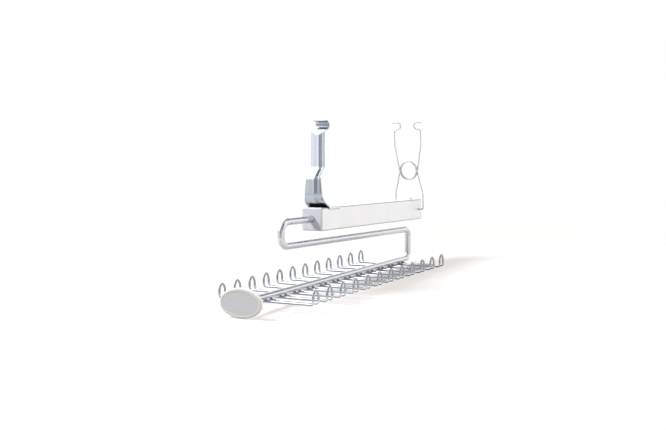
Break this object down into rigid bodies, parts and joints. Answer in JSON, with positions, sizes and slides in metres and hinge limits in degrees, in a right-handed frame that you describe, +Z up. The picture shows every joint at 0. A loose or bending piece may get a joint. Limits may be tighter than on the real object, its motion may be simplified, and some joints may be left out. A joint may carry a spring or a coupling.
{
  "type": "tie hanger",
  "caption": "Pull-out tie rack for a wire shelf: square housing with a hook strap and a spring-wire clip, and a sliding rod with wire loops and an oval handle.",
  "frame": {"origin": "axis of the shelf rod that the front hook holds, at the middle of the hook's width", "axes": "+X across the rack to the right seen from the front, +Y to the back along the housing, +Z up"},
  "size_m": [0.1152, 0.3959, 0.2012],
  "materials": {
    "housing_metal": "satin",
    "cap_plastic": "moulded satin",
    "strap_chrome": "bright plated sheet",
    "rod_steel": "satin plated bar",
    "loop_steel": "bright plated wire",
    "spring_steel": "drawn spring wire",
    "rivet_steel": "plain",
    "handle_plastic": "moulded satin",
    "handle_plate": "satin",
    "slider_nylon": "moulded"
  },
  "bodies": {
    "housing": {"housing_tube": "housing_metal", "front_end_cap": "cap_plastic", "rear_end_plug": "cap_plastic", "rear_plug_rivet": "rivet_steel", "front_bracket": "strap_chrome", "bracket_rivets": "rivet_steel"},
    "rack": {"slide_rod": "rod_steel", "slider_block": "slider_nylon", "slider_pin": "rivet_steel", "oval_cap_body": "handle_plastic", "oval_cap_face": "handle_plate", "tie_loop_01": "loop_steel", "tie_loop_02": "loop_steel", "tie_loop_03": "loop_steel", "tie_loop_04": "loop_steel", "tie_loop_05": "loop_steel", "tie_loop_06": "loop_steel", "tie_loop_07": "loop_steel", "tie_loop_08": "loop_steel", "tie_loop_09": "loop_steel", "tie_loop_10": "loop_steel", "tie_loop_11": "loop_steel", "tie_loop_12": "loop_steel"},
    "rear_clip": {"clip_base_wire": "spring_steel"},
    "left_arm": {"clip_left_arm": "spring_steel"},
    "right_arm": {"clip_right_arm": "spring_steel"}
  },
  "joints": [
    {"name": "rack_slide", "type": "slide", "parent": "housing", "child": "rack", "axis": [0, -1, 0], "range_m": [-0.045, 0.149]},
    {"name": "clip_tilt", "type": "hinge", "parent": "housing", "child": "rear_clip", "pos_m": [0, 0.2292, -0.1021], "axis": [1, 0, 0], "range_deg": [-90, 60]},
    {"name": "left_arm_squeeze", "type": "hinge", "parent": "rear_clip", "child": "left_arm", "pos_m": [0, 0.22514, -0.05267], "axis": [0, 0.9966, 0.0819], "range_deg": [0, 7.5], "stiffness_Nm_per_rad": 0.5},
    {"name": "right_arm_squeeze", "type": "hinge", "parent": "rear_clip", "child": "right_arm", "pos_m": [0, 0.22514, -0.05267], "axis": [0, -0.9966, -0.0819], "range_deg": [0, 7.5], "stiffness_Nm_per_rad": 0.5}
  ]
}
